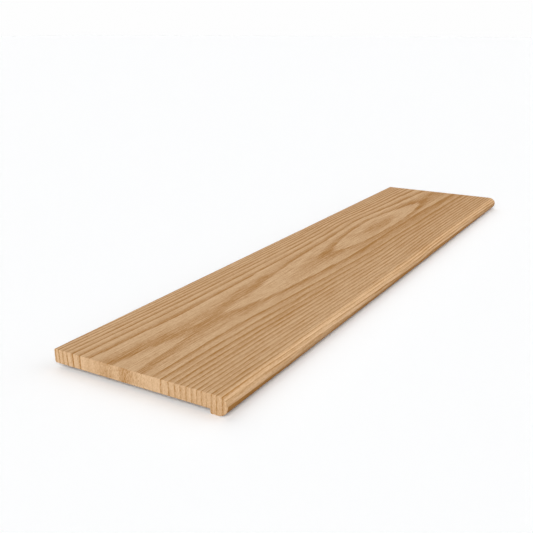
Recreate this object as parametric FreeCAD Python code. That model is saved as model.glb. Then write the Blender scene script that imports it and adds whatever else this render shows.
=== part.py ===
import FreeCAD, Part
import math
import os

from FreeCAD import Vector

# A stair tread machined from one wide board of softwood.
# X runs along the tread, Y from the nose to the back edge, and Z is up.
# The origin lies under the middle of the tread, level with the underside of the nose.

# Board, in millimetres: the depth is measured over the nose
length = 1300.0
depth = 300.0
board_thickness = 21.0

# Moulded nose: a half ellipse in front, and a lip that hangs below the board behind it
nose_height = 28.0
nose_reach = 16.0
lip_width = 27.0

# Roundings left by the planer and the sander
back_arris = 3.0
top_arris = 1.0
lip_arris = 2.0
rebate_corner = 1.0
end_easing = 0.6

# Levels and lines that follow from the sizes above
front = -depth / 2
back = depth / 2
nose_root = front + nose_reach
lip_back = front + lip_width
underside = nose_height - board_thickness
mid_nose = nose_height / 2


def at(y, z):
    """A point of the cross-section, on the tread's left end."""
    return Vector(-length / 2, y, z)


def quarter_ellipse(start, corner, end):
    """The quarter ellipse from start to end whose end tangents meet at the corner."""
    curve = Part.BezierCurve()
    curve.setPoles([start, corner, end])
    curve.setWeight(2, math.sqrt(0.5))
    return curve.toShape()


def cross_section():
    """The moulded section with sharp corners: nose, lip, rebate and board."""
    flat_sides = Part.makePolygon([
        at(nose_root, 0),
        at(lip_back, 0),
        at(lip_back, underside),
        at(back, underside),
        at(back, nose_height),
        at(nose_root, nose_height),
    ])
    upper_nose = quarter_ellipse(at(nose_root, nose_height), at(front, nose_height), at(front, mid_nose))
    lower_nose = quarter_ellipse(at(front, mid_nose), at(front, 0), at(nose_root, 0))
    return Part.Face(Part.Wire(flat_sides.Edges + [upper_nose, lower_nose]))


def round_long_edge(solid, y, z, radius):
    """Round the edge that runs the tread's whole length through one corner of the section."""
    corner = Part.Vertex(0, y, z)
    nearest = min(solid.Edges, key=lambda edge: edge.distToShape(corner)[0])
    return solid.makeFillet(radius, [nearest])


def ease_ends(solid):
    """Take the sharpness off the sawn ends, all the way round the section."""
    end_edges = [edge for edge in solid.Edges if edge.BoundBox.XLength < end_easing / 2]
    return solid.makeFillet(end_easing, end_edges)


def make_tread():
    """The whole tread: the section run to length, then its edges eased."""
    solid = cross_section().extrude(Vector(length, 0, 0))
    solid = round_long_edge(solid, back, underside, back_arris)
    solid = round_long_edge(solid, back, nose_height, top_arris)
    solid = round_long_edge(solid, lip_back, 0, lip_arris)
    solid = round_long_edge(solid, lip_back, underside, rebate_corner)
    return ease_ends(solid)


os.makedirs("parts", exist_ok=True)
make_tread().exportStep("parts/tread.step")
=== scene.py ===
import math

import bmesh
import bpy
from mathutils import Matrix, Vector


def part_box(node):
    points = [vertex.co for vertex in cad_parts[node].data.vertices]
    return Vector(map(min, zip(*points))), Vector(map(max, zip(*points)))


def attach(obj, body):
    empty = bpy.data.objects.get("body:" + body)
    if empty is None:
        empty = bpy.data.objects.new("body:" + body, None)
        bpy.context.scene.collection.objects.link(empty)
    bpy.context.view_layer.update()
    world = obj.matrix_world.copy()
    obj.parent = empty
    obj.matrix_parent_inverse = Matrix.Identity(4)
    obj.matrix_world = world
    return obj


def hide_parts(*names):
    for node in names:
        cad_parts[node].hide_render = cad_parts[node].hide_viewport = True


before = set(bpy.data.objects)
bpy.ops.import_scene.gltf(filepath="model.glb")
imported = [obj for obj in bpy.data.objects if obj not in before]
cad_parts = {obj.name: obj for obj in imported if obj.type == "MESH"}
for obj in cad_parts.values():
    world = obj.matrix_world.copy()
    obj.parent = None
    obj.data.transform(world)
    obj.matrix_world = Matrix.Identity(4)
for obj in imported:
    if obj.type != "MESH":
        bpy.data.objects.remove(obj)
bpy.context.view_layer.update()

# Tread: one wide softwood board, planed to a moulded section and sanded.
# The nose, the lip below it and the board are one piece, so one mesh stands for the whole part.
# It is shaped as the joiner would: the section first, then the nose, then the eased edges.
low, high = (Vector(corner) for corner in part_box("tread"))
board_thickness = 0.021
nose_reach = 0.016
lip_width = 0.027
back_arris = 0.003
top_arris = 0.001
lip_arris = 0.002
rebate_corner = 0.001
end_easing = 0.0006
nose_segments = 18
arris_segments = 5
easing_segments = 3
hair = 1e-6

front, back = low.y, high.y
top = high.z
underside = top - board_thickness
lip_back = front + lip_width
nose_radius = (high.z - low.z) / 2

bm = bmesh.new()
section = [(front, low.z), (lip_back, low.z), (lip_back, underside),
           (back, underside), (back, top), (front, top)]
outline = bm.faces.new([bm.verts.new((low.x, y, z)) for y, z in section])
swept = bmesh.ops.extrude_face_region(bm, geom=[outline])["geom"]
right_end = [v for v in swept if isinstance(v, bmesh.types.BMVert)]
bmesh.ops.translate(bm, verts=right_end, vec=(high.x - low.x, 0, 0))
bmesh.ops.recalc_face_normals(bm, faces=bm.faces)


def round_edges(edges, radius, segments):
    """Round these edges of the tread to a radius."""
    bmesh.ops.bevel(bm, geom=edges, offset=radius, offset_type="OFFSET", segments=segments, profile=0.5,
                    affect="EDGES", clamp_overlap=False, material=-1)


def long_edge(y, z):
    """The edge that runs along the tread at this place in its section."""
    def distance(edge):
        return max(math.hypot(v.co.y - y, v.co.z - z) for v in edge.verts)
    return min(bm.edges, key=distance)


round_edges([long_edge(front, top), long_edge(front, low.z)], nose_radius, nose_segments)
bmesh.ops.remove_doubles(bm, verts=bm.verts, dist=hair)
nose = [v for v in bm.verts if v.co.y < front + nose_radius + hair]
from_the_front = Matrix.Translation((0, -front, 0))
bmesh.ops.scale(bm, vec=(1, nose_reach / nose_radius, 1), space=from_the_front, verts=nose)
round_edges([long_edge(back, underside)], back_arris, arris_segments)
round_edges([long_edge(back, top)], top_arris, arris_segments)
round_edges([long_edge(lip_back, low.z)], lip_arris, arris_segments)
round_edges([long_edge(lip_back, underside)], rebate_corner, arris_segments)
end_edges = [e for e in bm.edges if e.verts[0].co.x == e.verts[1].co.x]
round_edges(end_edges, end_easing, easing_segments)
bmesh.ops.recalc_face_normals(bm, faces=bm.faces)
for face in bm.faces:
    face.smooth = True

mesh = bpy.data.meshes.new("tread_board")
bm.to_mesh(mesh)
bm.free()
board = bpy.data.objects.new("tread_board", mesh)
bpy.context.collection.objects.link(board)
flatten = board.modifiers.new("flat faces stay flat", "WEIGHTED_NORMAL")
flatten.weight = 100


class Signal:
    """An output of a shader node. Arithmetic on a Signal adds Math nodes to its material."""

    def __init__(self, tree, socket=None):
        self.tree = tree
        self.socket = socket

    def node(self, kind, settings=(), inputs=(), output=0):
        """Add a node to the material: its settings first, then the values or links of its sockets."""
        made = self.tree.nodes.new(kind)
        for name, value in dict(settings).items():
            setattr(made, name, value)
        for name, value in dict(inputs).items():
            if isinstance(value, Signal):
                self.tree.links.new(value.socket, made.inputs[name])
            else:
                made.inputs[name].default_value = value
        return Signal(self.tree, made.outputs[output])

    def math(self, operation, *values):
        return self.node("ShaderNodeMath", {"operation": operation}, dict(enumerate(values)))

    def function(self, operation):
        """A function of this Signal alone, such as its cosine."""
        return self.math(operation, self)

    def __add__(self, other):
        return self.math("ADD", self, other)

    def __sub__(self, other):
        return self.math("SUBTRACT", self, other)

    def __rsub__(self, other):
        return self.math("SUBTRACT", other, self)

    def __mul__(self, other):
        return self.math("MULTIPLY", self, other)

    def __truediv__(self, other):
        return self.math("DIVIDE", self, other)

    def __pow__(self, other):
        return self.math("POWER", self, other)

    __radd__ = __add__
    __rmul__ = __mul__

    def blend(self, first, second):
        """A colour that goes from the first to the second as this Signal goes from 0 to 1."""
        return self.node("ShaderNodeMix", {"data_type": "RGBA"}, {"Factor": self, 6: first, 7: second}, 2)

    def ease(self, start, end, low=0.0, high=1.0):
        """A smooth step from low to high as this Signal goes from start to end."""
        return self.node("ShaderNodeMapRange", {"interpolation_type": "SMOOTHSTEP"},
                         {"Value": self, "From Min": start, "From Max": end, "To Min": low, "To Max": high})

    def hump(self, centre, width):
        """A smooth hill of height 1 where this Signal is at the centre."""
        return (((self - centre) / width) ** 2 * -1).function("EXPONENT")


def new_material(name):
    """An empty material, its output node, and a Signal to start from."""
    material = bpy.data.materials.new(name)
    material.use_nodes = True
    material.node_tree.nodes.clear()
    output = material.node_tree.nodes.new("ShaderNodeOutputMaterial")
    return material, output, Signal(material.node_tree)


wood, wood_output, wood_tree = new_material("sanded_softwood")
place = wood_tree.node("ShaderNodeTexCoord", output="Object")


def streaks(along, across, through, detail=2.0, roughness=0.5):
    """Noise centred on 0, from -0.5 to 0.5, whose lumps have these sizes in metres."""
    lumps = (1 / along, 1 / across, 1 / through)
    scaled = place.node("ShaderNodeMapping", (), {"Vector": place, "Scale": lumps})
    noise = place.node("ShaderNodeTexNoise", {"noise_dimensions": "3D"},
                       {"Vector": scaled, "Scale": 1.0, "Detail": detail, "Roughness": roughness})
    return noise - 0.5


x, y, z = (place.node("ShaderNodeSeparateXYZ", (), {"Vector": place}, axis) for axis in "XYZ")
sawn_end = x.function("ABSOLUTE").ease(high.x - 2 * end_easing, high.x - end_easing)
long_side = 1 - sawn_end

# The heart line runs along the board, and off_heart says how far in front of it a place lies. Below the
# top the rings lean, and on the nose and the back edge they turn down with the face.
heart_y = 0.013
heart_drift = 0.01
middle_lean = 0.03
lean_per_metre = 0.23
nose_root = front + nose_reach
nose_blend = 0.004
back_turn_start = 0.006
back_turn_end = 0.001
back_turn_share = 0.8
nose_turn = y.ease(nose_root + nose_blend, nose_root - nose_blend) * long_side
back_turn = y.ease(back - back_turn_start, back - back_turn_end) * long_side * back_turn_share
lean = nose_turn - back_turn - middle_lean - y * lean_per_metre
slow_wander = streaks(along=0.16, across=0.03, through=0.15) * 0.002
quick_wander = streaks(along=0.04, across=0.008, through=0.12) * 0.0008
off_heart = heart_y - y + x * heart_drift + (top - z) * lean + (slow_wander + quick_wander)


def near(place_x, reach, amount):
    """An amount that is felt at one place along the board and dies away at this reach to either side."""
    return x.hump(place_x, reach) * amount


def spot(place_x, reach, off, width):
    """A soft spot of height 1: its place and reach along the board, its place off the heart and its width."""
    return x.hump(place_x, reach) * off_heart.hump(off, width)


# How far the ring lines bend towards the nose. Those in front of the heart, those behind it and those
# along it each drift and bend in their own way, and blend into one another.
heart_overlap = 0.006
heart_strip = 0.054
nose_drift = 0.032
back_drift = 0.0115
middle_drift = 0.0143
nose_side = off_heart.ease(-heart_overlap, heart_strip)
back_side = off_heart.ease(-heart_strip, heart_overlap, low=1, high=0)
nose_bend = x * nose_drift + near(-0.104, reach=0.292, amount=0.006) + near(0.02, reach=0.11, amount=0.003)
back_bend = x * back_drift - near(0.222, reach=0.118, amount=0.0067) - near(-0.7, reach=0.207, amount=0.0061)
middle_bend = x * middle_drift + near(-0.255, reach=0.075, amount=0.008)
bend = nose_side * nose_bend + back_side * back_bend + (1 - nose_side - back_side) * middle_bend

# Growth rings, counted outwards from the heart. They stand wide apart on it and crowd towards the edges
# of the board, as flat-sawn rings do, and come to a soft ridge along the heart line.
decimetre = 0.1
first_rings = 4.368
nose_rings = 0.989
edge_rings = 0.392
nose_edge_rings = 0.482
ridge_radius = 0.06
ridge_reach = 0.28
ridge_rings = 0.9
spread = (off_heart - bend) / decimetre
crowding = nose_rings + spread * (edge_rings - spread * nose_edge_rings)
growth = spread ** 2 * (first_rings + spread * crowding)
ridge = (spread ** 2 + ridge_radius ** 2) ** 0.5 - ridge_radius
growth = growth + ridge * spread.hump(0, ridge_reach) * ridge_rings

# The rings close to an eye towards the right end, with a pointed arch round it, and pinch to a narrow
# neck near the left end. The wave from the neck to the eye and on is a rounded zigzag.
neck_x = -0.461
wave_length = 1.725
wave_stretch = 0.225
wave_point = 0.99
past_neck = x - neck_x
past_neck = past_neck + past_neck * past_neck * wave_stretch
wave = (past_neck * (2 * math.pi / wave_length)).function("COSINE") * wave_point
wave = wave.function("ARCSINE") / math.asin(wave_point)
heart_rings = 1.333
heart_centre = -0.006
heart_reach = 0.0674
wave_rings = 0.7865
eye = spot(0.181, reach=0.16, off=0.001, width=0.034)
eye_rings = 0.55
front_crowd = spot(0.3, reach=0.25, off=0.047, width=0.012)
front_crowd_rings = 0.66
back_crowd = x.ease(0.2, 0.45) * off_heart.hump(-0.042, 0.015)
back_crowd_rings = 0.2
ragged = streaks(along=0.1, across=0.003, through=0.2)
ragged_rings = 0.3
rings = heart_rings + growth + wave * off_heart.hump(heart_centre, heart_reach) * wave_rings
rings = rings - eye * eye_rings + front_crowd * front_crowd_rings
rings = rings + back_crowd * back_crowd_rings
rings = rings + ragged * ragged_rings

# How strong each ring's dark line is: every ring has its own strength, which comes and goes in patches.
# The lines are faint round the heart and stronger to the right, and the sawn ends' heart is almost plain.
heart_side = off_heart.hump(heart_centre, 0.045)
own_strength = place.node("ShaderNodeTexWhiteNoise", {"noise_dimensions": "1D"},
                          {"W": rings.function("FLOOR")}, "Value")
least_strength = 0.9
strength_range = 0.22
patches = streaks(along=0.25, across=0.015, through=0.02) * x.ease(-0.35, 0.1, low=0.45, high=0.8)
plain_heart = sawn_end * off_heart.ease(-0.09, -0.075) * off_heart.ease(0.052, 0.042)
plainness = 0.85
ring_strength = least_strength + strength_range * own_strength + patches
strength = rings.ease(2, 4.5, low=0.6, high=0.85) * ring_strength * (1 - plain_heart * plainness)
strength = strength * off_heart.ease(0.035, 0.07, low=1.15, high=0.88)
strength = strength * x.ease(-0.2, 0.55, low=1, high=1.45)
heart_extra = near(0, reach=0.2, amount=0.3) + x.ease(0.25, 0.5, low=0, high=0.25)
heart_extra = heart_extra - near(-0.46, reach=0.13, amount=0.15)
eye_loss = 0.25
strength = strength * (1 + heart_side * heart_extra) * (1 - eye * eye_loss)

# The dark line itself starts sharply at each ring's inner side and fades outwards. On the sawn ends it
# is narrower, and stronger from the back edge to the heart.
line_start = 0.06
heart_line_start = 0.07
line_fade = 2.3
end_line_fade = 2
age = rings.function("FRACT")
line = age.ease(0, line_start + heart_side * heart_line_start)
line = line * (1 - age) ** (line_fade + sawn_end * end_line_fade)
latewood = line * strength * (1 + sawn_end * off_heart.ease(0, 0.07, low=0.4, high=0))

# The wood between the rings: fine fibres, broader streaks and flecks, clouds, and short dark pores.
fibre = streaks(along=0.07, across=0.0012, through=0.004, detail=3, roughness=0.6)
streak = streaks(along=0.16, across=0.005, through=0.005, detail=3) * x.ease(-0.35, 0.1, low=0.4, high=0.65)
fleck = streaks(along=0.045, across=0.0035, through=0.006) * x.ease(-0.5, 0.1, low=0.3, high=1)
cloud = streaks(along=0.5, across=0.08, through=0.08)
pore = streaks(along=0.012, across=0.0006, through=0.0006, detail=1).ease(0.14, 0.26)
speckle = streaks(along=0.005, across=0.0016, through=0.0016, detail=1)
plain_tone = 0.28
fleck_tone = 0.25
heart_fleck_tone = 0.35
fibre_tone = 1.15
latewood_fibre_tone = 1.2
heart_fibre_tone = 1.3
cloud_tone = 0.3
pore_tone = 0.15
speckle_tone = 0.65
tone = plain_tone + latewood + streak
tone = tone + fleck * (fleck_tone + heart_fleck_tone * heart_side)
tone = tone + fibre * (fibre_tone + latewood_fibre_tone * latewood + heart_fibre_tone * heart_side)
tone = tone + cloud * cloud_tone + pore * pore_tone + speckle * speckle_tone

# Broad shades of the board: darker along the front, over the arch, left of the middle and at the right
# end of the heart, and paler along the back.
front_shade = off_heart.hump(0.07, 0.03) * x.ease(-0.5, 0.2, low=0.09, high=0.14) * long_side
back_paleness = off_heart.ease(-0.02, -0.05) * 0.06
arch_shade = spot(0.19, reach=0.16, off=0.04, width=0.009) * 0.24
middle_shade = spot(-0.13, reach=0.1, off=0.008, width=0.018) * 0.13
right_shade = off_heart.hump(0.009, 0.028) * x.ease(0.56, 0.62) * long_side * 0.24
tone = tone + front_shade - back_paleness + arch_shade + middle_shade + right_shade

# The sawn ends are paler than the walking surface, partly by their own colour and partly by painted light.
# The rounding of the nose is made paler and brighter, a painted highlight. The heart of the ends is darker,
# and the lower half of the nose is darkened with painted shade.
# The sawn ends are paler: partly their own end-grain colour, partly painted light.
end_paleness_and_light = sawn_end * off_heart.ease(0.04, 0.07, low=0.12, high=0.03)
end_fibre = sawn_end * streaks(along=0.1, across=0.0016, through=0.02)
end_fibre_tone = 0.6
end_heart = sawn_end * (off_heart.hump(-0.011, 0.013) * 0.5 + off_heart.hump(-0.05, 0.016) * 0.3)
# A painted highlight along the rounding of the nose: its colour is made paler here.
nose_highlight_from = 0.014
nose_highlight_to = 0.007
nose_painted_highlight = 0.1
rounded_nose = y.ease(front + nose_highlight_from, front + nose_highlight_to) * long_side
# Painted shade under the nose: the lower half of its rounding is darkened towards the colour of the dark ring
# lines.
nose_shade_from = 0.019
nose_shade_to = 0.008
under_nose_shade_tone = 0.7
painted_shade_under_nose = rounded_nose * z.ease(nose_shade_from, nose_shade_to)
tone = tone - end_paleness_and_light + end_fibre * end_fibre_tone
tone = tone - rounded_nose * nose_painted_highlight + painted_shade_under_nose * under_nose_shade_tone + end_heart

pale_wood = (0.655, 0.446, 0.267, 1)
dark_wood = (0.355, 0.170, 0.048, 1)
nose_highlight_brightness = 0.16
sanded_roughness = 0.55
latewood_polish = 0.12
colour = tone.blend(pale_wood, dark_wood)
# The nose's painted highlight also scales the colour up beyond the pale wood.
colour = colour.node("ShaderNodeVectorMath", {"operation": "SCALE"},
                     {0: colour, "Scale": 1 + rounded_nose * nose_highlight_brightness})
latewood_relief = 0.6
fibre_relief = 0.5
relief = latewood * latewood_relief + fibre * fibre_relief - pore
bump = relief.node("ShaderNodeBump", (), {"Height": relief, "Strength": 0.35, "Distance": 0.0003})
surface = wood_tree.node("ShaderNodeBsdfPrincipled", (), {
    "Base Color": colour, "Roughness": sanded_roughness - latewood * latewood_polish,
    "Specular IOR Level": 0.01, "Normal": bump})
wood_tree.tree.links.new(surface.socket, wood_output.inputs["Surface"])
board.data.materials.append(wood)

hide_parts("tread")
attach(board, "root")

# Floor: a plain white studio floor that fades into the white around it.
# It looks white, but throws back only half the light that falls on it.
floor_reach = 30
light_thrown_back = (0.5, 0.5, 0.5, 1)
floor_white = (0.98, 0.985, 0.991, 1)
bm = bmesh.new()
bmesh.ops.create_grid(bm, x_segments=1, y_segments=1, size=floor_reach)
mesh = bpy.data.meshes.new("floor")
bm.to_mesh(mesh)
bm.free()
floor = bpy.data.objects.new("floor", mesh)
bpy.context.collection.objects.link(floor)
paper, paper_output, paper_tree = new_material("white_floor")


def shown(tree):
    """1 for what is looked at, straight on or in a gloss, and 0 for what only gives light."""
    rays = ("Is Camera Ray", "Is Glossy Ray", "Is Transmission Ray")
    camera, gloss, through = (tree.node("ShaderNodeLightPath", output=ray) for ray in rays)
    return camera.math("MAXIMUM", camera, gloss.math("MAXIMUM", gloss, through))


paper_colour = shown(paper_tree).blend(light_thrown_back, floor_white)
paper_surface = paper_tree.node("ShaderNodeBsdfDiffuse", (), {"Color": paper_colour})
paper_tree.tree.links.new(paper_surface.socket, paper_output.inputs["Surface"])
floor.data.materials.append(paper)

# Light: three broad soft lamps, a strong one towards the left end and weaker ones at the front right
# and the back right. The white surround gives only a little light of its own. A lamp of strength 1
# lights white paper that faces it to half white.
world = bpy.data.worlds.new("white_surround")
world.use_nodes = True
world.node_tree.nodes.clear()
sky = Signal(world.node_tree)
sky_light = 0.02
sky_white = 0.99
background = sky.node("ShaderNodeBackground", (), {
    "Color": (1, 1, 1, 1), "Strength": sky_light + shown(sky) * (sky_white - sky_light)})
world_output = world.node_tree.nodes.new("ShaderNodeOutputWorld")
world.node_tree.links.new(background.socket, world_output.inputs["Surface"])
bpy.context.scene.world = world

lamp_width = math.radians(60)
half_white = math.pi / 2
for name, bearing, height, strength in (("left_front_lamp", 200, 30, 2.27),
                                        ("front_right_lamp", 320, 30, 0.58),
                                        ("back_right_lamp", 60, 45, 0.76)):
    lamp_data = bpy.data.lights.new(name, "SUN")
    lamp_data.energy = strength * half_white
    lamp_data.angle = lamp_width
    lamp = bpy.data.objects.new(name, lamp_data)
    tilt = Matrix.Rotation(math.radians(90 - height), 4, "X")
    lamp.matrix_world = Matrix.Rotation(math.radians(bearing + 90), 4, "Z") @ tilt
    bpy.context.collection.objects.link(lamp)

# Camera: at the left end, a little above, looking along the tread.
camera_data = bpy.data.cameras.new("camera")
camera_data.sensor_width = 36
camera_data.lens = 50
camera = bpy.data.objects.new("camera", camera_data)
camera_place = (-1.33607, -0.61457, 0.47111)
heading = math.radians(30.696)
downward = math.radians(18.037)
roll = math.radians(-0.181)
turn = Matrix.Rotation(heading - math.pi / 2, 4, "Z") @ Matrix.Rotation(math.pi / 2 - downward, 4, "X")
camera.matrix_world = Matrix.Translation(camera_place) @ turn @ Matrix.Rotation(roll, 4, "Z")
bpy.context.collection.objects.link(camera)
bpy.context.scene.camera = camera
bpy.context.scene.view_settings.view_transform = "Standard"
